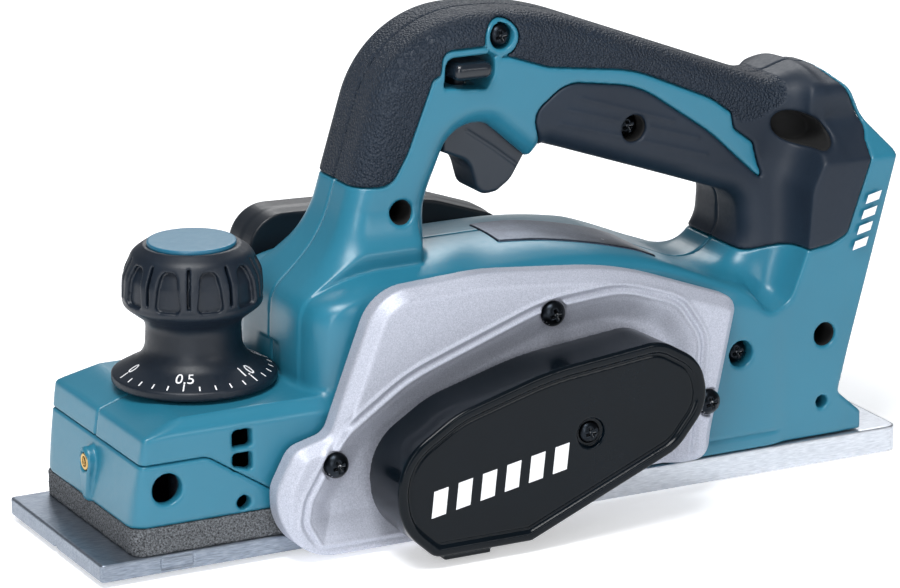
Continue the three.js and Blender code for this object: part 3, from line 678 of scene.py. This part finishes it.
def grip_pieces():
    s = Space((-64, -43.2, 74), (160, 43.2, 181), 0.7)
    shell = shell_field(s)
    zone = skin_zone(s)
    ribs = np.minimum.reduce([path(rib, s.x, s.z) for rib in PALM_RIBS])
    swell = 0.35 + 0.45 * ease(-ribs, -1.3, 0)
    outer = shell - swell
    skin = both(both(outer, zone, 0.9), -1.9 - shell)
    for x, z, radius in SCREWS.values():
        skin = without(skin, np.maximum(s.rod_y(x, z, radius), s.y + 5), 0.8)
    skin = without(skin, oval(s), 1.0)
    holes = rooms(s)
    for name in ("trigger", "lever", "mouth", "slot"):
        skin = without(skin, holes[name], 0.6)
    textured = rounded([
        (-80, 119), (-30, 119), (-19, 157), (-14, 168), (12, 160), (60, 149), (92, 135), (100.2, 129.5, 3),
        (105, 126.8, 4), (112.2, 127.2, 6), (122.2, 131.7, 6), (124.5, 139, 4),
        (117, 146), (20, 200), (-80, 200),
    ])
    for name, side, node in (("left", s.y + 0.12, "left_grip"), ("right", 0.12 - s.y, "right_grip")):
        piece = shape(f"{name}_grip_skin", s, both(skin, side, 0.8), "housing", GRIP, [node])
        vertices = piece.data.vertices
        at = np.zeros(len(vertices) * 3, np.float32)
        vertices.foreach_get("co", at)
        at = at.reshape(-1, 3) * MM
        grain = ease(-outline(textured, at[:, 0], at[:, 2]), -0.8, 0.8)
        attribute = piece.data.attributes.new("grain", "FLOAT", "POINT")
        attribute.data.foreach_set("value", grain.astype(np.float32))


# ---------------------------------------------------------------- belt side

FRAME_LINE = rounded([
    (-97, 1.2, 21), (-40, 1.2, 4), (-12, 11, 4), (73.5, 12.8, 7), (86, 70.5, 6), (38, 88.5, 130),
    (-16, 94, 110), (-57.5, 92, 18), (-76.5, 43.5, 6), (-90, 40, 8), (-97, 27, 10),
])
DISH_LINE = rounded([
    (-91, 14, 10), (-84, 2), (66, 2), (70.6, 44, 6), (72, 60, 16), (61, 76.5, 18), (37, 84.6, 40),
    (5, 82.4, 70), (-49, 63.8, 70), (-75, 46.5, 24), (-89, 24, 10),
])
COVER_LINE = rounded([
    (-51, 4, 6), (-13.4, 4, 3), (45, 28.6, 18), (57.5, 44, 16), (54, 60, 16), (38, 69.5, 16), (-6, 65, 110),
    (-42, 55, 40), (-66, 40, 22), (-64, 16, 22),
])
FRAME_SCREWS = {
    "frame_screw_front": (-75.8, 33.8),
    "frame_screw_top": (9.1, 76.4),
    "frame_screw_rear": (72.5, 34.5),
}
COVER_SCREW = (10.2, 39.7)


def frame_piece():
    s = Space((-99, FRAME_FACE - 1, 0), (88, FRAME_BACK + 1, 95), 0.4)
    line = s.xz(FRAME_LINE)
    dish = s.xz(DISH_LINE)
    inside = ease(-dish, 3, 14) * 4.4
    ribs = 0.55 * np.exp(-(dish / 0.8) ** 2) - 0.5 * np.exp(-((dish + 1.9) / 0.8) ** 2)
    ribs += 0.5 * np.exp(-((dish + 3.6) / 0.8) ** 2)
    face = FRAME_FACE + 0.7 + inside - ribs * ease(-line, 1.5, 4)
    front = face - s.y
    upper = ease(s.z, 4, 24)
    chamfer = (line + front) * 0.7071 + 2.6 * upper + 0.4
    solid = both(both(both(line, front, 0.8), chamfer, 0.7), s.y - FRAME_BACK, 0.3)
    for x, z in FRAME_SCREWS.values():
        solid = without(solid, np.maximum(s.rod_y(x, z, 5.3), s.y - FRAME_FACE - 2.2), 0.6)
    solid = without(solid, s.rod_y(DRUM[0], DRUM[2], round_room("drum_bearing_left")), 0.3)
    solid = without(solid, s.rod_y(MOTOR[0], MOTOR[2], round_room("motor_bearing_left")), 0.3)
    shape("frame_shell", s, solid, "housing", SILVER, ["side_frame"])


def cover_piece():
    s = Space((-68, COVER_FACE - 1, 1), (60, COVER_BACK + 1, 71), 0.5)
    line = s.xz(COVER_LINE) - 0.035 * (COVER_BACK - s.y) + 0.9
    inner = ease(-line, 3.0, 3.9) * 1.1
    groove = 0.45 * np.exp(-((line + 4.6) / 0.45) ** 2)
    face = COVER_FACE + 0.2 + inner + groove
    solid = slab(line, face - s.y, 1.4)
    solid = both(solid, s.y - COVER_BACK, 0.3)
    hollow = np.maximum(np.maximum(line + 3.2, COVER_FACE + 3.6 - s.y), s.y - COVER_BACK - 1)
    solid = without(solid, hollow)
    x, z = COVER_SCREW
    solid = without(solid, np.maximum(s.rod_y(x, z, 5.4), s.y - COVER_FACE - 2.9), 0.5)
    tab = slab(s.xz(rounded([(-47, 2.2), (-29, 2.2), (-29, 8), (-47, 8)])), np.abs(s.y + 74) - 3, 0.5)
    solid = either(solid, tab, 0.4)
    shape("cover_shell", s, solid, "housing", GLOSS, ["belt_cover"])

    x, z = -26.5, 27.8
    bars = []
    slant = math.atan2(11.3, 61.6)
    for i in range(6):
        u = -27 + i * 9.6
        corners = [(u, -4.6), (u + 5.6, -4.6), (u + 8.4, 4.6), (u + 2.8, 4.6)]
        cos, sin = math.cos(slant), math.sin(slant)
        bars.append([(x + a * cos - b * sin, z + a * sin + b * cos) for a, b in corners])
    printed_bars("cover_bars", bars, COVER_FACE + 1.25, 0.12)


def rear_print():
    bars = []
    for i in range(4):
        x, z = 138.6 + i * 1.75, 79.6 + i * 5.6
        bars.append([(x, z), (x + 5.6, z + 1.2), (x + 6.7, z + 4.4), (x + 1.1, z + 3.2)])
    printed_bars("rear_bars", bars, -SIDE + 0.02, 0.12)


def add_block(vertices, faces, bottom, top):
    """Adds a block between two rings of four corners to a mesh's lists."""
    base = len(vertices)
    vertices += bottom + top
    faces += [(base, base + 3, base + 2, base + 1), (base + 4, base + 5, base + 6, base + 7)]
    for i in range(4):
        j = (i + 1) % 4
        faces.append((base + i, base + j, base + 4 + j, base + 4 + i))


def printed_bars(name, bars, y, thickness):
    """Thin printed shapes on a face that looks towards -Y."""
    vertices, faces = [], []
    for corners in bars:
        bottom, top = ([(x, level, z) for x, z in corners] for level in (y, y - thickness))
        add_block(vertices, faces, bottom, top)
    return place(link(name, vertices, faces, smooth=False), "housing", WHITE)


def cross_screw(name, x, z, y, radius, node=None):
    """A pan-head screw with a cross recess. Its head stands out towards -Y from y."""
    height = radius * 0.62
    room = radius + 0.6
    s = Space((x - room, y - height - 0.6, z - room), (x + room, y + 1.4, z + room), 0.22)
    across = s.rod_y(x, z, 0)
    ball = radius * radius / (2 * height) + height / 2
    dome = np.sqrt(across ** 2 + (s.y - (y - height + ball)) ** 2) - ball
    head = both(both(across - radius, dome, 0.5), s.y - y - 1)
    turn = math.radians(18)
    u = (s.x - x) * math.cos(turn) + (s.z - z) * math.sin(turn)
    v = -(s.x - x) * math.sin(turn) + (s.z - z) * math.cos(turn)
    half_width, reach = 0.62, radius * 0.56
    upright = np.maximum(np.abs(u) - half_width, np.abs(v) - reach)
    level = np.maximum(np.abs(v) - half_width, np.abs(u) - reach)
    arm = np.minimum(upright, level)
    cone = across * 0.55 - (y - height + 2.0 - s.y)
    head = without(head, np.maximum(arm, cone), 0.25)
    shape(name, s, head, "housing", BLACK_SCREW, [node] if node else ())


def screws():
    for name, (x, z) in FRAME_SCREWS.items():
        cross_screw(name + "_head", x, z, FRAME_FACE + 1.2, 4.7, name)
    cross_screw("cover_screw_head", *COVER_SCREW, COVER_FACE + 2.9, 4.2, "belt_cover_screw")
    for name, depth in SCREW_DEPTH.items():
        x, z, radius = SCREWS[name]
        cross_screw(name + "_head", x, z, depth, radius - 0.5, name)


# ---------------------------------------------------------------- soles and seal


def sole_pieces():
    s = Space((-161, -SIDE - 1, FRONT_LOW - 1), (-43, SIDE + 1, FRONT_TOP + 1), 0.5)
    plan = s.xy(rounded([(-160, -SIDE, 1.5), (-44, -SIDE), (-44, SIDE), (-160, SIDE, 1.5)]))
    sole = slab(plan, np.maximum(FRONT_LOW - s.z, s.z - FRONT_TOP), 0.5)
    sole = without(sole, s.rod_y(DRUM[0], DRUM[2], 29.3), 0.4)
    sole = without(sole, np.abs(s.y) * 0.9 - (FRONT_LOW + 1.5 - s.z), 0.4)
    inset = s.xz(rounded([(-137.6, 2.9, 0.8), (-125.4, 2.9, 0.8), (-125.4, 6.9, 0.8), (-137.6, 6.9, 0.8)]))
    sole = without(sole, np.maximum(np.abs(inset) - 0.3, np.abs(s.y + SIDE) - 0.6), 0.4)
    shape("front_sole_plate", s, sole, "front_sole_body", SOLE_DARK, ["front_base"])

    s = Space((-31, -SIDE - 1, -1), (161, SIDE + 1, 10.5), 0.6)
    plan = s.xy(rounded([(-45, -SIDE), (160, -SIDE, 4), (160, SIDE, 4), (-45, SIDE)]))
    sole = slab(plan, np.maximum(-s.z, s.z - 9.5), 0.5)
    sole = without(sole, s.rod_y(DRUM[0], DRUM[2], 29.3), 0.4)
    sole = both(sole, -30 - s.x)
    sole = without(sole, np.maximum(124 - s.x, np.maximum(np.abs(s.y) - 8.3, s.x - 150)), 0.4)
    shape("rear_sole_plate", s, sole, "housing", SOLE, ["rear_base"])


def seal_piece():
    s = Space((-149, -43, 7), (-68, 43, 18.6), 0.6)
    plan = s.xy(rounded([(-147, -40.5, 5), (-70, -40.5), (-70, 40.5), (-147, 40.5, 5)]))
    inner = s.xy(rounded([(-140, -34), (-76, -34), (-76, 34), (-140, 34)]))
    ring = without(plan, inner)
    rng = np.random.default_rng(7)
    rough = rng.normal(0, 0.16, np.broadcast(s.x, s.y, s.z).shape).astype(np.float32)
    seal = slab(ring, between(s.z, FRONT_TOP + 0.05, 17.6), 0.8) + rough
    points, quads = surface(s, seal)
    piece = link("seal_strip", points, quads)
    piece.data.materials.append(FOAM)
    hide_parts("front_seal")
    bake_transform(piece)
    return piece


# ---------------------------------------------------------------- depth knob

KNOB_PROFILE = rounded([
    (-5, 55.9), (29.1, 55.9, 0.4), (29.1, 58.6, 0.5), (20.5, 63.2, 8), (17.2, 66.5, 8), (16.6, 77.6, 5),
    (24.4, 83.6, 3), (25.1, 87.2, 2), (24.7, 94.5, 8), (21, 102, 6), (16.2, 105.4, 1), (15.9, 104.6),
    (-5, 104.6),
])


def knob_pieces():
    s = Space((KNOB[0] - 30.5, -30.5, 54.5), (KNOB[0] + 30.5, 30.5, 107), 0.5)
    dx, dy = s.x - KNOB[0], s.y - KNOB[1]
    radius = np.hypot(dx, dy) + 0 * s.z
    knob = outline(KNOB_PROFILE, radius, s.z + 0 * radius)
    step = 2 * math.pi / 10
    facing = math.radians(-117)
    angle = np.arctan2(dy, dx) - facing
    to_slot = (angle + step / 2) % step - step / 2
    to_pad = angle % step - step / 2
    lean = (s.z - 93.4) * 0.12
    pad = slab(np.abs(to_pad) * 24 - 3.9 + lean, np.abs(s.z - 92.8) - 6.9, 2.2)
    slot = slab(np.abs(to_slot) * 24 - 0.55, np.abs(s.z - 94.2) - 6.8, 0.5)
    inner = 14 - radius
    knob = without(knob, np.maximum(np.maximum(pad, inner), -2.0 - knob), 0.9)
    knob = without(knob, np.maximum(np.maximum(slot, inner), -2.6 - knob), 0.4)
    lip = np.hypot(radius - 25.2, s.z - 85.4) - 0.55
    knob = without(knob, lip, 0.5)
    shape("knob_body", s, knob, "knob", KNOB_RUBBER, ["depth_knob"])

    cap = Space((KNOB[0] - 17, -17, 103), (KNOB[0] + 17, 17, 107.5), 0.4)
    disc = slab(cap.rod_z(KNOB[0], KNOB[1], 15.7), between(cap.z, 103.8, 105.95), 0.6)
    shape("knob_cap_disc", cap, disc, "knob", DEEP_TEAL, ["knob_cap"])
    dial_marks()
    mark = rounded([(-72.6, 12.6, 0.4), (-68.6, 8.4, 0.4), (-67.4, 13.4, 0.4)])
    s = Space((-74, 6, 53.5), (-66, 15, 59), 0.3)
    pointer = slab(s.xy(mark), between(s.z, 54, 57.6), 0.5)
    shape("dial_pointer", s, pointer, "housing", TEAL)


TICK_RADIUS = 26.6
TICK_HEIGHT = 59.95
TICKS = 26
DIAL_ZERO = math.radians(178)
DIAL_NUMBERS = ["0", "0.5", "1.0", "1.5", "2.0"]


def on_dial(angle, u, v, lift):
    """A point on the dial's slope: u along the rim, v up the slope, both from the tick circle."""
    slope = math.atan2(63.2 - 58.6, 29.1 - 20.5)
    radius = TICK_RADIUS - v * math.cos(slope) + lift * math.sin(slope)
    around = angle + u / TICK_RADIUS
    height = TICK_HEIGHT + v * math.sin(slope) + lift * math.cos(slope)
    return (KNOB[0] + radius * math.cos(around), KNOB[1] + radius * math.sin(around), height)


def dial_marks():
    vertices, faces = [], []
    for i in range(TICKS):
        angle = DIAL_ZERO + math.radians(12) * i
        length = 3.3 if i % 5 == 0 else 2.1
        corners = [(-0.24, -1.2), (0.24, -1.2), (0.24, length - 1.2), (-0.24, length - 1.2)]
        bottom, top = ([on_dial(angle, u, v, lift) for u, v in corners] for lift in (-0.25, 0.07))
        add_block(vertices, faces, bottom, top)
    ticks = link("dial_ticks", vertices, faces, smooth=False)
    place(ticks, "knob", WHITE)
    for i, text in enumerate(DIAL_NUMBERS):
        angle = DIAL_ZERO + math.radians(60) * i
        curve = bpy.data.curves.new("digits", "FONT")
        curve.body = text
        curve.size = 6.6
        curve.align_x = "CENTER"
        curve.extrude = 0.15
        curve.resolution_u = 4
        source = bpy.data.objects.new("digits", curve)
        bpy.context.scene.collection.objects.link(source)
        bpy.context.view_layer.update()
        mesh = bpy.data.meshes.new_from_object(source)
        bpy.data.objects.remove(source)
        for vertex in mesh.vertices:
            u, v, lift = vertex.co
            vertex.co = Vector(on_dial(angle, u, v + 2.4, lift - 0.07)) / MM
        digits = bpy.data.objects.new(f"dial_number_{i}", mesh)
        bpy.context.scene.collection.objects.link(digits)
        place(digits, "knob", WHITE)


# ---------------------------------------------------------------- trigger, lever, foot, insert

TRIGGER_LINE = rounded([
    (-12, 127.4), (-1.4, 122.8, 8), (2.2, 109.6, 4.6), (9.6, 110.4, 4.2), (15.2, 114.2, 9),
    (20.9, 123.3, 0.6), (18.4, 130.5, 1), (1, 143.5), (-6, 145), (-12, 141),
])


def trigger_piece():
    s = Space((-14, -10, 109), (21, 10, 147), 0.4)
    line = s.xz(TRIGGER_LINE)
    trigger = slab(line, np.abs(s.y) - 9, 1.6)
    ridge = path([(-2.7, 134.3), (8, 126.7), (18, 118.8)], s.x, s.z)
    trigger = either(trigger, np.maximum(np.maximum(ridge - 0.5, line + 1.4), np.abs(s.y) - 9.25), 0.5)
    pin = pivot("trigger_pull")
    trigger = without(trigger, s.rod_y(pin[0], pin[2], round_room("trigger_pin")), 0.2)
    shape("trigger_shell", s, trigger, "trigger_body", TRIGGER_BLACK, ["trigger"])


def lever_piece():
    s = Space((-16, -22, 148), (6, 22, 163), 0.4)
    line = s.xz(rounded([(-12.9, 155.2, 2.6), (2, 155.2, 2.6), (2.4, 161.2, 2.6), (-12.6, 161.6, 2.6)]))
    lever = slab(line, np.abs(s.y) - 20.9, 2.7)
    for i in range(5):
        x = -4.6 + i * 1.7
        lever = without(lever, np.maximum(np.hypot(s.x - x, s.z - 155) - 0.6, 14 - np.abs(s.y)), 0.3)
    tooth = np.maximum(np.maximum(between(s.x, -7, -3), between(s.z, 149.5, 156)), np.abs(s.y) - 8)
    shape("lever_shell", s, either(lever, tooth), "lock_body", LEVER_BLACK, ["lock_lever"])


def foot_piece():
    s = Space((121, -9, 0), (150, 9, 20), 0.4)
    line = s.xz(rounded([
        (123.5, 10.5, 3), (123.5, 18.5, 3.5), (132, 18.5, 3.5), (148, 9, 2), (148, 1, 1.5),
        (140.5, 1, 1.5), (137, 9, 3),
    ]))
    foot = slab(line, np.abs(s.y) - 8, 0.8)
    foot = without(foot, s.rod_y(FOOT[0], FOOT[2], 2.1))
    for y in (-5, 5):
        groove = np.maximum(np.abs(s.y - y) - 1.2, s.z - 16 + (s.x - 132) * 0.5)
        foot = without(foot, np.maximum(groove, 140 - s.x), 0.4)
    shape("foot_shell", s, foot, "foot_body", BLACK, ["park_foot"])


def insert_piece():
    s = Space((-149.5, -4, 27), (-142.5, 4, 35.5), 0.2)
    radius = np.hypot(s.y, s.z - 31.4)
    thread = 1.75 + 0.2 * np.sin((s.x * 2 * math.pi / 0.8) + np.arctan2(s.z - 31.4, s.y))
    insert = slab(radius - 3.05, between(s.x, -148.3, -142.5), 0.3)
    insert = without(insert, radius - thread, 0.2)
    shape("insert_shell", s, insert, "housing", BRASS, ["guide_insert"])


# ---------------------------------------------------------------- far side


def outlet_pieces():
    s = Space((-74, 41, 50), (46, 80, 101), 0.6)
    line = rounded([(-72, 58, 5), (40, 58, 6), (44, 84, 16), (8, 96.5, 40), (-62, 99, 14)])
    x, z = -30, 71
    shell = slab(s.xz(line), between(s.y, 47.3, 62), 4)
    neck = np.maximum(s.xz(line) + 0.4, between(s.y, 41.8, 52))
    spout = slab(s.rod_y(x, z, 19), between(s.y, 58, 78.5), 0.6)
    outlet = either(either(shell, neck, 0.6), spout, 3)
    for y in (64, 68):
        outlet = either(outlet, np.hypot(s.rod_y(x, z, 19), s.y - y - 6) - 0.6, 0.5)
    outlet = without(outlet, np.maximum(s.rod_y(x, z, 16.5), 57 - s.y), 0.5)
    duct = np.maximum(np.maximum(between(s.x, -60, -12), between(s.z, 60.5, 84)), s.y - 59.5)
    outlet = without(outlet, duct, 0.5)
    shape("outlet_shell", s, outlet, "housing", BLACK, ["chip_outlet"])


def plate_piece():
    s = Space((4, -29, 74), (70, 12, 101), 0.5)
    shell = shell_field(s)
    line = s.xy(rounded([(6.5, -15, 1), (44, -21, 20), (66, -26, 2), (66, 8, 2), (6.5, 8, 1)]))
    plate = both(both(shell - 0.6, line, 0.6), -0.8 - shell)
    shape("top_plate", s, plate, "housing", PLATE, ["name_plate"])


# ---------------------------------------------------------------- CAD nodes that keep their shape

KEPT = {
    STEEL: [
        "cutter_drum", "drum_pulley", "motor_pulley", "armature_shaft", "knob_spindle", "trigger_pin",
        "foot_pin", "blade_clamp_a", "blade_clamp_b", "motor_can",
    ],
    BEARING: ["drum_bearing_left", "drum_bearing_right", "motor_bearing_left", "motor_bearing_right"],
    BLADE: ["blade_a", "blade_b"],
    BLACK_SCREW: ["clamp_bolt_a1", "clamp_bolt_a2", "clamp_bolt_b1", "clamp_bolt_b2"],
    BRASS: ["brush_upper", "brush_lower"],
    COPPER: ["armature_core", "commutator"],
    BLACK: ["cooling_fan", "switch_body", "terminal_block"],
    BELT: ["drive_belt"],
    SILVER: ["lift_post"],
}


def plate_on_drum():
    """The round plate that carries the drum's far bearing."""
    inner, outer = low("bearing_plate"), high("bearing_plate")
    radius = (outer[0] - inner[0]) / 2
    s = Space([v - 1 for v in inner], [v + 1 for v in outer], 0.5)
    disc = s.rod_y(DRUM[0], DRUM[2], radius)
    plate = slab(both(disc, inner[2] - s.z), between(s.y, inner[1], outer[1]), 0.9)
    hub = s.rod_y(DRUM[0], DRUM[2], 12)
    plate = without(plate, np.maximum(np.maximum(hub, 3 - disc - radius), outer[1] - 1.2 - s.y), 0.5)
    plate = without(plate, np.maximum(np.abs(disc + 4) - 0.5, outer[1] - 0.6 - s.y), 0.4)
    seat = s.rod_y(DRUM[0], DRUM[2], round_room("drum_bearing_right"))
    plate = without(plate, np.maximum(seat, s.y - high("drum_bearing_right")[1] - 0.2), 0.2)
    plate = without(plate, s.rod_y(DRUM[0], DRUM[2], 7.2), 0.3)
    shape("bearing_plate_disc", s, plate, "housing", SILVER, ["bearing_plate"])


def dress_kept():
    for material, names in KEPT.items():
        for name in names:
            node = frame["nodes"][name]
            node.data.materials.clear()
            node.data.materials.append(material)


# ---------------------------------------------------------------- stage, light, camera


def stage():
    mesh = bpy.data.meshes.new("floor")
    size = 6.0
    corners = [(x * size, y * size, -0.0005) for x, y in ((-1, -1), (1, -1), (1, 1), (-1, 1))]
    mesh.from_pydata(corners, [], [(0, 1, 2, 3)])
    floor = bpy.data.objects.new("floor", mesh)
    bpy.context.scene.collection.objects.link(floor)
    look = Look("floor_paper", "f4f5f7", 0.9)
    look.tint(look.noise(300, 2), "f2f3f5", "f7f8fa")
    look.bump(look.noise(2, 2), 0.02)
    look.shader.inputs["Emission Color"].default_value = (1, 1, 1, 1)
    look.shader.inputs["Emission Strength"].default_value = 0.45
    mesh.materials.append(look.material)


def light(name, at, size, power, towards=(0, 0, 0.08)):
    data = bpy.data.lights.new(name, "AREA")
    data.shape = "RECTANGLE"
    data.size, data.size_y = size
    data.energy = power
    lamp = bpy.data.objects.new(name, data)
    lamp.location = at
    lamp.rotation_euler = (Vector(towards) - Vector(at)).to_track_quat("-Z", "Y").to_euler()
    bpy.context.scene.collection.objects.link(lamp)


def lights():
    world = bpy.data.worlds.new("studio")
    world.use_nodes = True
    world.node_tree.nodes["Background"].inputs[0].default_value = (0.93, 0.95, 1.0, 1)
    world.node_tree.nodes["Background"].inputs[1].default_value = 0.22
    bpy.context.scene.world = world
    light("key_top", (-0.35, -0.35, 1.1), (0.5, 0.5), 12)
    light("side_soft", (-0.85, -0.95, 0.5), (0.3, 0.8), 5)
    light("front_strip", (0.35, -1.2, 0.5), (0.6, 0.3), 2.6)
    light("rear_rim", (0.5, 0.9, 0.8), (0.8, 0.5), 6)
    scene = bpy.context.scene
    scene.view_settings.view_transform = "Standard"
    scene.view_settings.look = "None"


def camera():
    azimuth, elevation, roll = (math.radians(v) for v in (-27.18, 16.35, -0.29))
    target = Vector((-5.03, 0, 72.2)) / MM
    level = math.cos(elevation)
    back = Vector((math.sin(azimuth) * level, -math.cos(azimuth) * level, math.sin(elevation)))
    right = Vector((math.cos(azimuth), math.sin(azimuth), 0))
    up = back.cross(right)
    across = right * math.cos(roll) + up * math.sin(roll)
    upright = up * math.cos(roll) - right * math.sin(roll)
    data = bpy.data.cameras.new("camera")
    data.sensor_width = 36
    data.lens = 180
    data.clip_end = 50
    eye = bpy.data.objects.new("camera", data)
    turn = Matrix((across, upright, back)).transposed().to_4x4()
    eye.matrix_world = Matrix.Translation(target + back * 1.6137) @ turn
    bpy.context.scene.collection.objects.link(eye)
    bpy.context.scene.camera = eye


camera()
stage()
lights()
casing_pieces()
sockets()
grip_pieces()
frame_piece()
cover_piece()
rear_print()
screws()
sole_pieces()
seal_piece()
knob_pieces()
trigger_piece()
lever_piece()
foot_piece()
insert_piece()
outlet_pieces()
plate_piece()
plate_on_drum()
dress_kept()
